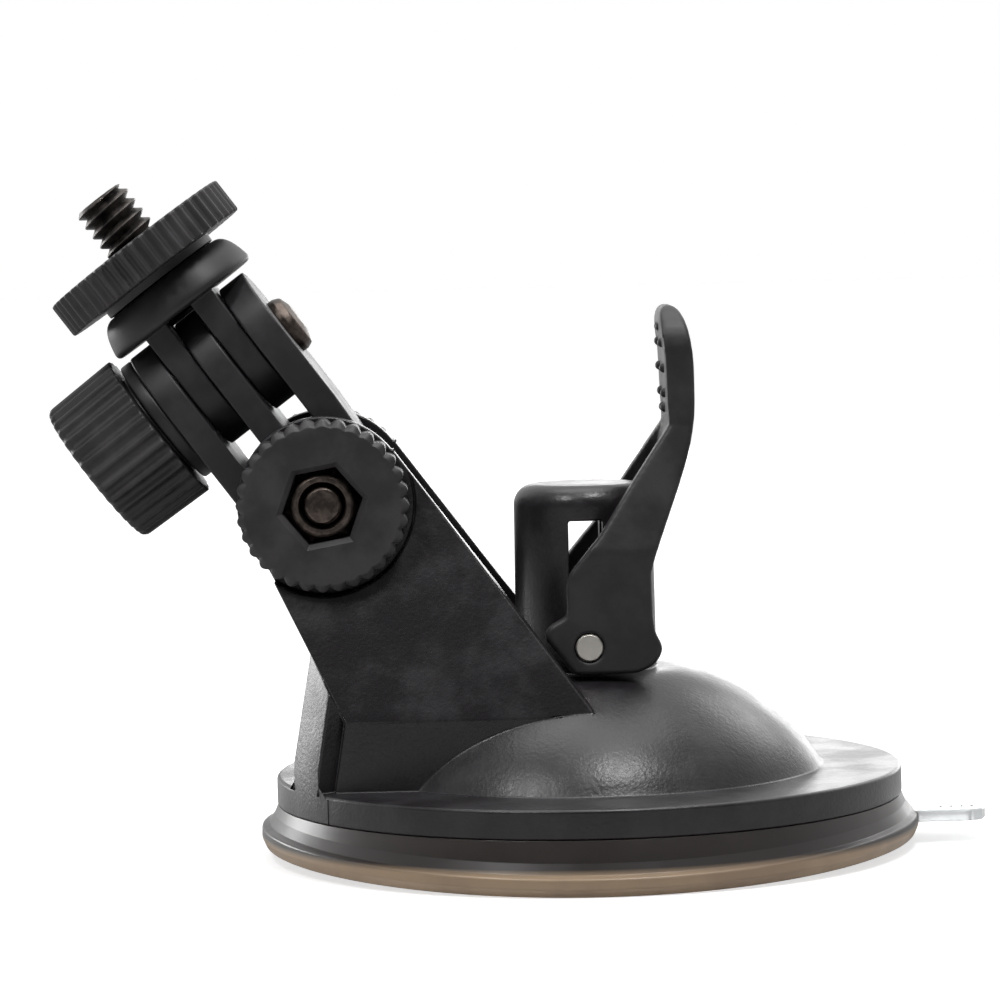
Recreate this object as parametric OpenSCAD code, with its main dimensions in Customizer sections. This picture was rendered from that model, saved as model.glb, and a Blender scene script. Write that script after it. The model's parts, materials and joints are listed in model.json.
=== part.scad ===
// Suction-cup windscreen mount with a two-axis arm and a camera thread.
// Frame: the origin is on the cup's axis, on the plane of the glass that the rim rests on.
// X runs from the leaning arm (-X) to the release tab (+X), Y across the arm, Z away from the glass.

/* [Base moulding] */
// Radius of the round base plate
plate_r = 33.2; // [32.8:0.1:34]
// Height of the plate's top above the glass
plate_top = 8.6; // [8.4:0.1:9]
// Thickness of the plate's rim
plate_t = 3; // [2.5:0.1:3.2]
// Radius of the dome where it meets the plate
dome_r = 24.9; // [24:0.1:26]
// Height of the dome above the plate
dome_h = 10.6; // [10:0.1:10.7]
// Radius of the guide tower at its top
tower_r = 7.35; // [7.2:0.05:7.6]
// Height of the guide tower's top above the glass
tower_top = 38.9; // [38:0.1:42]
// Width of the slot that guides the lever's pin
slot_w = 3.6; // [3.3:0.1:4]

/* [Arm] */
// Distance of the lower pivot in front of the cup's axis
pivot_out = 27.25; // [26.5:0.05:28]
// Height of the lower pivot above the glass
pivot_z = 38; // [37.5:0.1:40]
// Radius of the arm walls' round end
arm_end_r = 9; // [8.9:0.1:9.3]
// Half of the gap between the arm walls at the pivot
arm_gap = 7.55; // [7.5:0.05:7.7]

/* [Suction cup] */
// Radius of the cup's rim
cup_r = 35; // [34.5:0.1:36]
// Height of the cup's lip
lip_h = 2.4; // [2:0.1:2.6]
// Length that the release tab stands out of the rim
tab_l = 7; // [5:0.5:9]
// Width of the release tab
tab_w = 9; // [7:0.5:12]

/* [Lever] */
// Height of the lever's pin above the glass, with the lever up
pin_z = 22.4; // [22.3:0.1:22.6]
// Radius of the lever's pin
pin_r = 1.45; // [1.3:0.05:1.5]
// Width over the lever's fork
fork_w = 23; // [23:0.1:24]
// Width of the lever's handle
handle_w = 15.7; // [15:0.1:17]
// Thickness of the lever's walls
lever_t = 2.7; // [2.4:0.1:2.7]

/* [Link] */
// Angle that the link leans forward from upright
lean = 36.5; // [20:0.5:55]
// Distance between the link's two hinge axes
link_l = 16.8; // [16.6:0.1:18]
// Half width of the link, and the radius of its ends
link_r = 7.4; // [7.2:0.1:7.45]
// Thickness of each prong of the link
prong_t = 2.9; // [2.7:0.1:3]

/* [Camera head] */
// Height of the head's disc above the upper hinge
disc_z = 8; // [7.9:0.1:9]
// Radius of the disc's rim
disc_r = 8.8; // [8:0.1:9]
// Radius of the lock wheel
wheel_r = 11; // [10:0.1:11.5]
// Thickness of the lock wheel
wheel_t = 3.9; // [3.5:0.1:4.2]
// Length of the camera thread that stands out of the lock wheel
thread_out = 6; // [5:0.1:7]
// Radius of the camera thread, a quarter-inch photo screw
thread_r = 3.1; // [3.05:0.01:3.175]

/* [Knobs] */
// Radius of the two knobs on the lower pivot
knob_r = 8.95; // [8:0.05:9]
// Thickness of the two knobs on the lower pivot
knob_t = 4.5; // [4.4:0.1:5]
// Radius of the thumb knob on the upper hinge
thumb_r = 8.6; // [8:0.1:9]
// Length of the thumb knob's fluted part
thumb_l = 8.6; // [7:0.1:10]

/* [Hidden] */

eps = 0.02;
fit = 0.05;
plate_bottom = plate_top - plate_t;
rim_ease = 0.4;
hollow_r = 22.4;
hollow_top = 8.4;
tower_foot_r = 7.5;
tower_foot_z = 17.5;
tower_round = 2.2;
slot_top = 35.3;
slot_bottom = 20.6;
stem_bore_r = 4.1;
stem_bore_top = 35.9;
arm_foot_y = 17.15;
arm_knee_z = 16;
arm_top_y = 9.7;
arm_bend_z = 37;
arm_inner_foot_y = 14.6;
arm_inner_knee_z = 14.2;
arm_inner_bend_z = 29;
rib_lean = 10;
recess_r = 31.2;
recess_half_w = 11;
recess_depth = 0.6;
seat_y = 9.6;
bolt_r = 2;
nut_af = 7;
nut_t = 2.9;
nut_seat = 0.95;
nut_turn = 10;
pocket_play = 0.3;
pocket_chamfer = 1.3;
knob_notches = 32;
wheel_notches = 48;
gap_start = 7.5;
stem_r = 3.8;
flange_r = 9;
flange_t = 1.8;
seat_gap = 0.1;
web_start = 17.4;
inner_prong_x = prong_t / 2;
outer_prong_x = link_r - prong_t;
link_right = link_r + 0.35;
link_flare_z = 8;
washer_t = 1.4;
thumb_neck = 0.3;
disc_t = 3.9;
head_shift = 0.5;
hub_t = 0.9;
wheel_top = disc_z + disc_t + seat_gap + hub_t + wheel_t;
shank_r = thread_r - 0.45;

// Arm outline seen from the side: the corners of its two sloping edges
arm_left_top = [-34.65, 34.28];
arm_left_bottom = [-25.4, 15.9];
arm_right_top = [-19.93, 43.4];
arm_right_bottom = [2, 13.8];
arm_foot_x = -26.6;

// Plan of the rib that stands at a wall's front edge
rib_plan = [[-24.8, -15.4], [-26.5, -16.4], [-32, -19.7], [-36, -11.9], [-24.8, -11.9]];

function bezier(p, t) =
    pow(1 - t, 3) * p[0] + 3 * t * pow(1 - t, 2) * p[1] + 3 * t * t * (1 - t) * p[2] + pow(t, 3) * p[3];

function curve(p, steps) = [for (i = [0 : steps]) bezier(p, i / steps)];

function spoke(angle) = [cos(angle), sin(angle)];

function arc(centre, r, from, to, steps) =
    [for (i = [0 : steps]) centre + r * spoke(from + (to - from) * i / steps)];

// A cylinder lying along Y between two places
module along_y(r, from, to, fn = 72) {
    translate([0, from, 0]) rotate([-90, 0, 0]) cylinder(r = r, h = to - from, $fn = fn);
}

// A cylinder lying along X between two places
module along_x(r, from, to, fn = 72) {
    translate([from, 0, 0]) rotate([0, 90, 0]) cylinder(r = r, h = to - from, $fn = fn);
}

// Pushes an outline drawn in X and Z through the part, centred on Y
module side_shape(width) {
    rotate([90, 0, 0]) linear_extrude(width, center = true) children();
}

// Pushes an outline drawn in Y and Z through the part, centred on X
module front_shape(width) {
    rotate([90, 0, 90]) linear_extrude(width, center = true) children();
}

// An outline and its mirror image in the middle plane
module both_sides() {
    children();
    mirror([1, 0]) children();
}

module at_pivot() {
    translate([-pivot_out, 0, pivot_z]) children();
}

// The link's own frame: X across its prongs, Z along it from the lower pivot
module on_link() {
    at_pivot() rotate([0, -lean, 0]) children();
}

module at_hinge() {
    on_link() translate([0, 0, link_l]) children();
}

// A round outline with a row of round notches cut into its edge
module knurled_outline(r, count, notch_r) {
    difference() {
        circle(r = r, $fn = 96);
        for (i = [0 : count - 1]) {
            rotate(360 * i / count) translate([r + notch_r * 0.45, 0]) circle(r = notch_r, $fn = 16);
        }
    }
}

// A hexagon given by the distance across its flats
module hex_outline(across) {
    circle(r = across / sqrt(3), $fn = 6);
}

// ---------------------------------------------------------------- base moulding

module dome_and_plate() {
    dome_curve = [[9, dome_h], [12.5, dome_h], [21.5, 6.2], [dome_r, 0]];
    hollow_curve = [[hollow_r, -0.6], [19.3, 4.7], [11, hollow_top], [7.5, hollow_top]];
    rotate_extrude($fn = 120) translate([0, plate_top]) polygon(concat(
        [[0, hollow_top], [0, dome_h]],
        curve(dome_curve, 20),
        [[dome_r + rim_ease, 0]],
        arc([plate_r - rim_ease, -rim_ease], rim_ease, 90, 0, 4),
        [[plate_r, -plate_t], [hollow_r, -plate_t]],
        curve(hollow_curve, 12)));
}

module tower() {
    tower_h = tower_top - tower_foot_z;
    translate([0, 0, tower_foot_z]) rotate_extrude($fn = 96) polygon(concat(
        [[0, 0], [tower_foot_r, 0]],
        arc([tower_r - tower_round, tower_h - tower_round], tower_round, 0, 90, 10),
        [[0, tower_h]]));
}

module arm_outline() {
    translate([-pivot_out, pivot_z]) circle(r = arm_end_r, $fn = 96);
    polygon([[-pivot_out, pivot_z], arm_left_top, arm_left_bottom, [arm_foot_x, plate_top],
             [arm_foot_x, plate_bottom], [8, plate_bottom], arm_right_bottom, arm_right_top]);
}

// Section across one wall: it stands upright on the plate, leans in, and is upright again by the pivot
module wall_section() {
    polygon([[arm_foot_y, plate_bottom], [arm_foot_y, arm_knee_z], [arm_top_y, arm_bend_z],
             [arm_top_y, pivot_z + 12], [arm_gap, pivot_z + 12], [arm_gap, arm_inner_bend_z],
             [arm_inner_foot_y, arm_inner_knee_z], [arm_inner_foot_y, plate_bottom]]);
}

// The rib at the near wall's front edge, flush with the plate's rim and leaning back from it
module front_rib() {
    intersection() {
        translate([0, 0, plate_top]) rotate([0, rib_lean, 0]) linear_extrude(40, center = true)
            intersection() {
                circle(r = plate_r, $fn = 120);
                polygon(rib_plan);
            }
        side_shape(60) polygon([arm_left_top, arm_left_bottom, [arm_left_bottom[0], plate_bottom],
                                [-36, plate_bottom], [-36, arm_left_top[1]]]);
        translate([0, 0, plate_bottom]) cylinder(r = plate_r, h = 30, $fn = 120);
    }
}

// The shallow recess in the plate between the two walls, in front of the arm
module plate_recess() {
    translate([0, 0, plate_top - recess_depth]) linear_extrude(recess_depth + 1) intersection() {
        circle(r = recess_r, $fn = 120);
        translate([-recess_r - 1, -recess_half_w]) square([recess_r + 1 + arm_foot_x, 2 * recess_half_w]);
    }
}

module base_housing() {
    color([0.11, 0.11, 0.12]) difference() {
        union() {
            dome_and_plate();
            tower();
            difference() {
                union() {
                    intersection() {
                        side_shape(60) arm_outline();
                        translate([-20, 0, 0]) front_shape(60) both_sides() wall_section();
                    }
                    front_rib();
                    mirror([0, 1, 0]) front_rib();
                }
                translate([0, 0, plate_bottom - 1])
                    cylinder(r = hollow_r + 0.1, h = plate_t + 1.5, $fn = 120);
                translate([0, 0, plate_top - 0.1]) cylinder(r = 11, h = hollow_top, $fn = 96);
            }
        }
        cylinder(r = stem_bore_r, h = stem_bore_top, $fn = 72);
        translate([-slot_w / 2, -12, slot_bottom]) cube([slot_w, 24, slot_top - slot_bottom]);
        at_pivot() along_y(bolt_r + fit, -20, 20);
        at_pivot() along_y(arm_end_r + 0.5, seat_y, 30);
        at_pivot() along_y(arm_end_r + 0.5, -30, -seat_y);
        plate_recess();
    }
}

// ---------------------------------------------------------------- suction cup

module cup_outer() {
    rotate_extrude($fn = 120) polygon([[0, 0], [cup_r, 0], [cup_r, lip_h - 0.4], [cup_r - 0.4, lip_h],
                                       [plate_r, plate_bottom], [0, plate_bottom]]);
}

module suction_cup() {
    color([0.34, 0.29, 0.24, 0.7]) difference() {
        cup_outer();
        translate([0, 0, -eps]) cylinder(r1 = cup_r - 1.6, r2 = 26, h = 1.8 + eps, $fn = 120);
        translate([0, 0, 1.7]) cylinder(r1 = 26, r2 = 8, h = 0.9, $fn = 120);
    }
}

module release_tab() {
    tab_t = 1.3;
    tab_top = 3.6;
    color([0.9, 0.92, 0.92, 0.5]) difference() {
        translate([cup_r - 4, -tab_w / 2, tab_top - tab_t]) cube([tab_l + 4, tab_w, tab_t]);
        cup_outer();
    }
}

// ---------------------------------------------------------------- lever and its pull stem

module pull_stem() {
    color([0.16, 0.16, 0.17]) difference() {
        union() {
            translate([0, 0, plate_bottom]) cylinder(r = flange_r, h = flange_t, $fn = 96);
            translate([0, 0, plate_bottom]) cylinder(r = stem_r, h = pin_z + stem_r - plate_bottom, $fn = 72);
        }
        translate([0, 0, pin_z]) along_y(pin_r + fit / 2, -10, 10, 48);
    }
}

module lever_pin() {
    color([0.78, 0.78, 0.76]) translate([0, 0, pin_z]) along_y(pin_r, -fork_w / 2, fork_w / 2, 48);
}

// Side view of the lever about its pin. The foot is a cam that stays clear of the dome as it folds.
module lever_outline() {
    polygon(concat(
        [[-1.75, -2.8]],
        curve([[4.4, -2.8], [6.0, -2.75], [7.6, -1.5], [7.6, -0.2]], 10),
        curve([[7.6, -0.2], [7.55, 0.8], [6.8, 0.7], [6.7, 3]], 6),
        [[6.6, 7.6]],
        curve([[7.1, 9.4], [9.6, 16.4], [11.7, 20.4], [11.7, 25.2]], 10),
        curve([[11.7, 27.8], [11.7, 31], [11.1, 35.2], [9.4, 35.2]], 8),
        curve([[9, 35.2], [7.9, 34.9], [8.25, 33], [8.6, 30.5]], 6),
        [[8.9, 22.7], [5.3, 17.5], [1.4, 11.6]],
        curve([[-1.6, 8.0], [-2.5, 6.6], [-2.2, 6.0], [-2.2, 4.4]], 6),
        curve([[-2.2, 3.4], [-3.2, 2.4], [-4.55, 2.6], [-4.55, 1.0]], 6)));
}

// Front view of the lever: a wide fork that narrows to a round-ended handle
module lever_front(inset) {
    fork = fork_w / 2 - inset;
    handle = handle_w / 2 - inset;
    polygon(concat(
        [[-fork, -6], [-fork, 10], [-handle, 23]],
        arc([-handle + 5, 30.2 - inset], 5, 180, 90, 8),
        arc([handle - 5, 30.2 - inset], 5, 90, 0, 8),
        [[handle, 23], [fork, 10], [fork, -6]]));
}

module lever_pocket_outline() {
    polygon([[-6, -6], [12, -6], [12, web_start - 4], [7.5, web_start], [9.05, 22.6], [8.9, 22.7],
             [-6, 22.7]]);
}

module lever() {
    color([0.12, 0.12, 0.13]) translate([0, 0, pin_z]) difference() {
        intersection() {
            side_shape(fork_w + 4) lever_outline();
            translate([4, 0, 0]) front_shape(30) lever_front(0);
        }
        intersection() {
            side_shape(fork_w + 4) lever_pocket_outline();
            translate([4, 0, 0]) front_shape(30) lever_front(lever_t);
        }
        along_y(pin_r + fit, -fork_w, fork_w, 48);
    }
}

// ---------------------------------------------------------------- lower pivot hardware

// A knurled knob drawn with its seat at z = 0 and a hexagon pocket open at its outer face
module hex_knob() {
    pocket_z = 0.9;
    difference() {
        linear_extrude(knob_t) knurled_outline(knob_r, knob_notches, 0.62);
        translate([0, 0, pocket_z]) rotate(nut_turn) linear_extrude(knob_t) hex_outline(nut_af + pocket_play);
        translate([0, 0, knob_t - 0.5]) rotate(nut_turn) linear_extrude(1) hex_outline(nut_af + pocket_chamfer);
        translate([0, 0, -1]) cylinder(r = bolt_r + fit, h = knob_t + 2, $fn = 48);
    }
}

module pivot_knob() {
    color([0.13, 0.13, 0.14]) at_pivot() translate([0, -seat_y - seat_gap, 0]) rotate([90, 0, 0])
        hex_knob();
}

module pivot_nut() {
    color([0.3, 0.28, 0.27]) at_pivot() translate([0, -seat_y - seat_gap - nut_seat, 0]) rotate([90, 0, 0])
        difference() {
            rotate(nut_turn) linear_extrude(nut_t) hex_outline(nut_af);
            translate([0, 0, -1]) cylinder(r = bolt_r + fit, h = nut_t + 2, $fn = 48);
            translate([0, 0, nut_t - 0.45]) cylinder(r1 = bolt_r, r2 = bolt_r + 0.5, h = 0.5, $fn = 48);
        }
}

module pivot_cap() {
    color([0.13, 0.13, 0.14]) at_pivot() translate([0, seat_y + seat_gap, 0]) rotate([-90, 0, 0]) hex_knob();
}

module pivot_bolt() {
    head_y = seat_y + seat_gap + nut_seat;
    color([0.3, 0.28, 0.27]) at_pivot() {
        along_y(bolt_r, -13.2, head_y + eps, 48);
        along_y(bolt_r - 0.4, -13.6, -13.1, 48);
        translate([0, head_y, 0]) rotate([-90, nut_turn, 0]) linear_extrude(2.8) hex_outline(nut_af);
    }
}

// ---------------------------------------------------------------- link and upper hinge hardware

module link() {
    top = link_l + link_r;
    color([0.12, 0.12, 0.13]) on_link() difference() {
        intersection() {
            union() {
                along_y(link_r, -link_r, link_r);
                side_shape(2 * link_r) polygon([[-link_r, 0], [link_r, 0], [link_right, link_flare_z],
                                                [link_right, top], [-link_r, top]]);
            }
            union() {
                translate([0, 0, link_l]) along_x(link_r, -link_r, link_right);
                translate([-link_r, -link_r, -link_r])
                    cube([link_r + link_right, 2 * link_r, link_l + link_r]);
            }
        }
        for (side = [-1, 1]) {
            centre = side * (inner_prong_x + outer_prong_x) / 2;
            width = outer_prong_x - inner_prong_x;
            translate([centre - width / 2, -10, gap_start]) cube([width, 20, 30]);
        }
        along_y(bolt_r + fit, -20, 20);
        translate([0, 0, link_l]) along_x(bolt_r + fit, -20, 20);
    }
}

module head_bolt() {
    head_r = 3.2;
    color([0.33, 0.3, 0.29]) at_hinge() {
        along_x(bolt_r, -16.6, link_right + eps, 48);
        translate([link_right, 0, 0]) rotate([0, 90, 0]) rotate_extrude($fn = 64) polygon(concat(
            [[0, 0], [head_r, 0], [head_r, 0.5]],
            curve([[head_r, 0.7], [2.9, 1.4], [1.7, 1.75], [0, 1.75]], 8)));
    }
}

module head_washer() {
    color([0.15, 0.15, 0.16]) at_hinge() difference() {
        along_x(7.3, -link_r - washer_t, -link_r);
        along_x(bolt_r + fit, -link_r - 3, -link_r + 1, 48);
    }
}

// The thumb knob that clamps the upper hinge, with a nut pressed into its inner end
module head_knob() {
    neck_x = -link_r - washer_t - seat_gap;
    color([0.12, 0.12, 0.13]) at_hinge() difference() {
        union() {
            along_x(6, neck_x - thumb_neck - eps, neck_x);
            translate([neck_x - thumb_neck, 0, 0]) rotate([0, -90, 0])
                linear_extrude(thumb_l) knurled_outline(thumb_r, knob_notches, 0.6);
        }
        along_x(bolt_r + fit, neck_x - 8, neck_x + 1, 48);
        translate([neck_x - 3.2, 0, 0]) rotate([0, 90, 0]) linear_extrude(4) hex_outline(nut_af + 0.1);
    }
}

module head_knob_nut() {
    neck_x = -link_r - washer_t - seat_gap;
    color([0.45, 0.44, 0.42]) at_hinge() difference() {
        translate([neck_x - 3.2, 0, 0]) rotate([0, 90, 0]) linear_extrude(3.1) hex_outline(nut_af);
        along_x(bolt_r + fit, neck_x - 6, neck_x + 1, 48);
    }
}

// ---------------------------------------------------------------- camera head

module camera_head() {
    prong_r = 6.2;
    play = 0.15;
    color([0.12, 0.12, 0.13]) at_hinge() difference() {
        union() {
            for (side = [-1, 1]) {
                low = side > 0 ? inner_prong_x + play : -outer_prong_x + play;
                width = outer_prong_x - inner_prong_x - 2 * play;
                along_x(prong_r, low, low + width);
                translate([low, -prong_r, 0]) cube([width, 2 * prong_r, disc_z + 1]);
            }
            translate([head_shift, 0, disc_z]) rotate_extrude($fn = 96) polygon(concat(
                [[0, 0], [disc_r - 0.3, 0], [disc_r, 0.3]],
                curve([[disc_r, 0.7], [8.5, 2.2], [8.1, disc_t], [6.6, disc_t]], 10),
                [[0, disc_t]]));
        }
        along_x(bolt_r + fit, -20, 20);
        translate([head_shift, 0, 0]) cylinder(r = shank_r, h = 40, $fn = 72);
    }
}

// The stud is held in the disc by its thinner shank; the camera's thread starts above the wheel
module camera_screw() {
    bottom = disc_z - 0.6;
    top = wheel_top + thread_out;
    tip = 0.6;
    color([0.1, 0.1, 0.1]) at_hinge() translate([head_shift, 0, 0]) {
        translate([0, 0, bottom]) cylinder(r = shank_r, h = wheel_top + eps - bottom, $fn = 72);
        translate([0, 0, wheel_top]) cylinder(r = thread_r, h = thread_out - tip, $fn = 72);
        translate([0, 0, top - tip]) cylinder(r1 = thread_r, r2 = thread_r - tip, h = tip, $fn = 72);
    }
}

module lock_wheel() {
    color([0.13, 0.13, 0.14]) at_hinge() translate([head_shift, 0, disc_z + disc_t + seat_gap]) difference() {
        union() {
            cylinder(r = 6.8, h = hub_t + eps, $fn = 72);
            translate([0, 0, hub_t]) linear_extrude(wheel_t) knurled_outline(wheel_r, wheel_notches, 0.5);
        }
        translate([0, 0, -1]) cylinder(r = thread_r + fit, h = 12, $fn = 72);
    }
}

base_housing();
suction_cup();
release_tab();
pull_stem();
lever_pin();
lever();
pivot_knob();
pivot_nut();
pivot_bolt();
pivot_cap();
link();
head_bolt();
head_washer();
head_knob();
head_knob_nut();
camera_head();
camera_screw();
lock_wheel();
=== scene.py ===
# %% [markdown]
# # A suction-cup windscreen mount
# The object is a moulded base with a leaning arm, a lever that pulls up a soft cup, a tilting link and a
# fork head with a camera thread. Its CAD model is the fixed frame: every piece here takes its place from
# it, and rides on one of its bodies, so that the joints still work. Lengths are in millimetres until
# `MM` turns them into Blender's metres. Only the camera's place and the floor's size are written in
# metres.

# %% Load the frame
import json
import math

import bmesh
import bpy
from mathutils import Matrix, Vector


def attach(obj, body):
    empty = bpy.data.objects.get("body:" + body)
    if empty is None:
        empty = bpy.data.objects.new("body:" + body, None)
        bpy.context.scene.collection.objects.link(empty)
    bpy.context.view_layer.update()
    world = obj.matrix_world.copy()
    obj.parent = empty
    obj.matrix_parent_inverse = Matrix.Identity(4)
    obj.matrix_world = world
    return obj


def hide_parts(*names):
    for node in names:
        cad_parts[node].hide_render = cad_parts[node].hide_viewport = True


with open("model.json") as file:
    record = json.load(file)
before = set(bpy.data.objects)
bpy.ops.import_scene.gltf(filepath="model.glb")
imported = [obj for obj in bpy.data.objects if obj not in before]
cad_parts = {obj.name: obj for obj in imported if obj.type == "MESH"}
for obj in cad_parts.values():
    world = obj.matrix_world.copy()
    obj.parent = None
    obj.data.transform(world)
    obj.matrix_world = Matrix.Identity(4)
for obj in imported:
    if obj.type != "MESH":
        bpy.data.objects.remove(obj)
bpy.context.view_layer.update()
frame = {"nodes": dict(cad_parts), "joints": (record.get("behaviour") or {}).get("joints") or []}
MM = 0.001

# %% [markdown]
# The two hinge axes of the arm give the places of most pieces. The joints hold them: the lower pivot lies
# along Y, the upper hinge across the link. `UP_LINK` points from the first to the second.

# %% Find the axes
joints = {joint["name"]: joint for joint in frame["joints"]}
PIVOT = Vector(joints["pivot_tilt"]["pos_m"])
HINGE = Vector(joints["head_tilt"]["pos_m"])
PIN = Vector(joints["lever_fold"]["pos_m"])
ACROSS_LINK = Vector(joints["head_tilt"]["axis"]).normalized()
UP_LINK = (HINGE - PIVOT).normalized()
X, Y, Z = Vector((1, 0, 0)), Vector((0, 1, 0)), Vector((0, 0, 1))
print("the upper hinge is", round((HINGE - PIVOT).length / MM, 2), "mm above the pivot")

# %% [markdown]
# A round piece is easiest to draw upright, about Z at the origin. `set_down` gives the matrix that then
# puts it on one of the mount's axes, turned so that its own X points along a chosen direction.

# %% Put a piece on an axis
def set_down(origin, axis, sideways):
    """The matrix that puts a piece drawn upright about Z on an axis of the mount."""
    axis, sideways = axis.normalized(), sideways.normalized()
    third = axis.cross(sideways)
    return Matrix.Translation(origin) @ Matrix((sideways, third, axis)).transposed().to_4x4()


upright_knob = set_down(PIVOT, Z, X)
print("an upright piece on the pivot stands at", [round(c / MM, 2) for c in upright_knob.translation])

# %% [markdown]
# ## The camera, the floor and the light
# A long lens from the front and a little above keeps the verticals straight, so the camera stands far
# back and looks slightly down. The floor is a plain white sheet. The light is a bright tent round the
# object: white behind and above it, and dimmer on the camera's side, because a black part only shows its
# form by the pale shapes it reflects.

# %% Camera
CAMERA_PLACE = Vector((-0.014255, -0.451643, 0.06865))
CAMERA_AIM = Vector((0.01208, 0.99752, -0.06939)).normalized()
CAMERA_ROLL = math.radians(-1.35)
LENS, FILM_WIDTH = 153.5, 36
NEAREST_SEEN = 0.01

level = CAMERA_AIM.cross(Z).normalized()
upright = level.cross(CAMERA_AIM)
right = level * math.cos(CAMERA_ROLL) + upright * math.sin(CAMERA_ROLL)
top = upright * math.cos(CAMERA_ROLL) - level * math.sin(CAMERA_ROLL)
camera = bpy.data.objects.new("camera", bpy.data.cameras.new("camera"))
camera.data.lens = LENS
camera.data.sensor_width = FILM_WIDTH
camera.data.clip_start = NEAREST_SEEN
facing = Matrix((right, top, -CAMERA_AIM)).transposed().to_4x4()
camera.matrix_world = Matrix.Translation(CAMERA_PLACE) @ facing
bpy.context.scene.collection.objects.link(camera)
bpy.context.scene.camera = camera
bpy.context.scene.view_settings.view_transform = "Standard"
print("camera", round(CAMERA_PLACE.length / MM), "mm away with a", LENS, "mm lens")

# %% [markdown]
# ## A bench for building node trees
# Both the materials and the Geometry Nodes trees are wired in the script. `Bench` keeps that short: `put`
# adds a node, and a value given for an input is either linked, if it is a socket, or set. `calc` is one
# Math node. Some nodes keep one socket of the same name for each type of data, and only one is in use.

# %% Bench
def named(sockets, name):
    """The socket of that name that is in use."""
    return next(s for s in sockets if s.name == name and s.enabled)


class Bench:
    """Adds nodes to a tree and wires them up."""

    def __init__(self, tree):
        self.tree = tree
        self.given = tree.nodes.new("NodeGroupInput").outputs

    def put(self, kind, inputs=None, **settings):
        node = self.tree.nodes.new(kind)
        for setting, value in settings.items():
            setattr(node, setting, value)
        for where, value in (inputs or {}).items():
            self.feed(node, where, value)
        return node

    def feed(self, node, where, value):
        socket = node.inputs[where] if isinstance(where, int) else named(node.inputs, where)
        if isinstance(value, bpy.types.NodeSocket):
            self.tree.links.new(value, socket)
        else:
            socket.default_value = value

    def calc(self, operation, *values):
        return self.put("ShaderNodeMath", dict(enumerate(values)), operation=operation).outputs[0]


print("bench ready:", ", ".join(job for job in vars(Bench) if not job.startswith("_")))

# %% [markdown]
# A tree's own sockets are its controls. Each gets a name and a starting value, so that a reader can open
# the tree in Blender and see what may be changed.

# %% A tree with named sockets
GEOMETRY, FLOAT = "NodeSocketGeometry", "NodeSocketFloat"
WHOLE, MATERIAL = "NodeSocketInt", "NodeSocketMaterial"


def new_tree(name, kind, inputs, outputs):
    """A node group with named sockets, each given as (name, type, default)."""
    tree = bpy.data.node_groups.new(name, kind)
    for in_out, sockets in (("INPUT", inputs), ("OUTPUT", outputs)):
        for label, socket_type, default in sockets:
            socket = tree.interface.new_socket(label, in_out=in_out, socket_type=socket_type)
            if default is not None:
                socket.default_value = default
    return tree


print("socket types:", GEOMETRY, FLOAT, WHOLE, MATERIAL)

# %% [markdown]
# ## Effects that several finishes share
# Moulded plastic is never one even black. The mould's etched grain breaks up its reflections, its edges
# carry a painted highlight, a lighter tone, and a lower roughness, and handling leaves faint duller
# patches. Each of these is a node group that gives out a height or a mask, and every finish uses them with
# its own values. They read Object coordinates, so a pattern stays on its piece as the joints move.

# %% Mould grain
FINE_SCALE, PEBBLE_SHARE = 1.7, -0.8


def make_grain():
    tree = new_tree(
        "mould_grain", "ShaderNodeTree",
        [("Grain size", FLOAT, 0.0004), ("Grain depth", FLOAT, 0.00001)],
        [("Height", FLOAT, None), ("Sparkle", FLOAT, None)],
    )
    bench = Bench(tree)
    place = bench.put("ShaderNodeTexCoord").outputs["Object"]
    scale = bench.calc("DIVIDE", 1.0, bench.given["Grain size"])
    pebbles = bench.put("ShaderNodeTexVoronoi", {"Vector": place, "Scale": scale}, feature="SMOOTH_F1")
    fine = bench.put(
        "ShaderNodeTexNoise",
        {"Vector": place, "Scale": bench.calc("MULTIPLY", scale, FINE_SCALE), "Detail": 2.0,
         "Roughness": 0.6},
    )
    blend = bench.calc("MULTIPLY_ADD", pebbles.outputs["Distance"], PEBBLE_SHARE, fine.outputs[0])
    out = bench.put("NodeGroupOutput")
    bench.feed(out, "Height", bench.calc("MULTIPLY", blend, bench.given["Grain depth"]))
    bench.feed(out, "Sparkle", fine.outputs[0])
    return tree


grain_group = make_grain()
print("mould grain has", len(grain_group.nodes), "nodes")

# %% [markdown]
# The edge mask is where the surface turns quickly. There the finishes paint a highlight, a lighter tone,
# and lower the roughness. The Bevel node gives the normal that a rounded edge would have, so the
# difference between it and the true normal is a mask of the edges.

# %% Edge highlight and polish
def make_edge_highlight_and_polish():
    tree = new_tree(
        "edge_highlight_and_polish", "ShaderNodeTree",
        [("Reach", FLOAT, 0.0003), ("Strength", FLOAT, 1.0)],
        [("Mask", FLOAT, None)],
    )
    bench = Bench(tree)
    rounded = bench.put("ShaderNodeBevel", {"Radius": bench.given["Reach"]}, samples=4)
    true = bench.put("ShaderNodeNewGeometry")
    same = bench.put(
        "ShaderNodeVectorMath", {0: rounded.outputs[0], 1: true.outputs["Normal"]},
        operation="DOT_PRODUCT",
    )
    turned_away = bench.calc("SUBTRACT", 1.0, same.outputs["Value"])
    strong = bench.calc("MULTIPLY", turned_away, bench.given["Strength"])
    bench.feed(bench.put("NodeGroupOutput"), "Mask", bench.calc("MINIMUM", strong, 1.0))
    return tree


edge_group = make_edge_highlight_and_polish()
print("edge highlight and polish has", len(edge_group.nodes), "nodes")

# %% [markdown]
# Handling and dust change a surface over millimetres, not over tenths: a large soft noise, sharpened a
# little, is enough.

# %% Handling marks
CLEAN_BELOW, HANDLED_ABOVE = 0.38, 0.66


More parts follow.
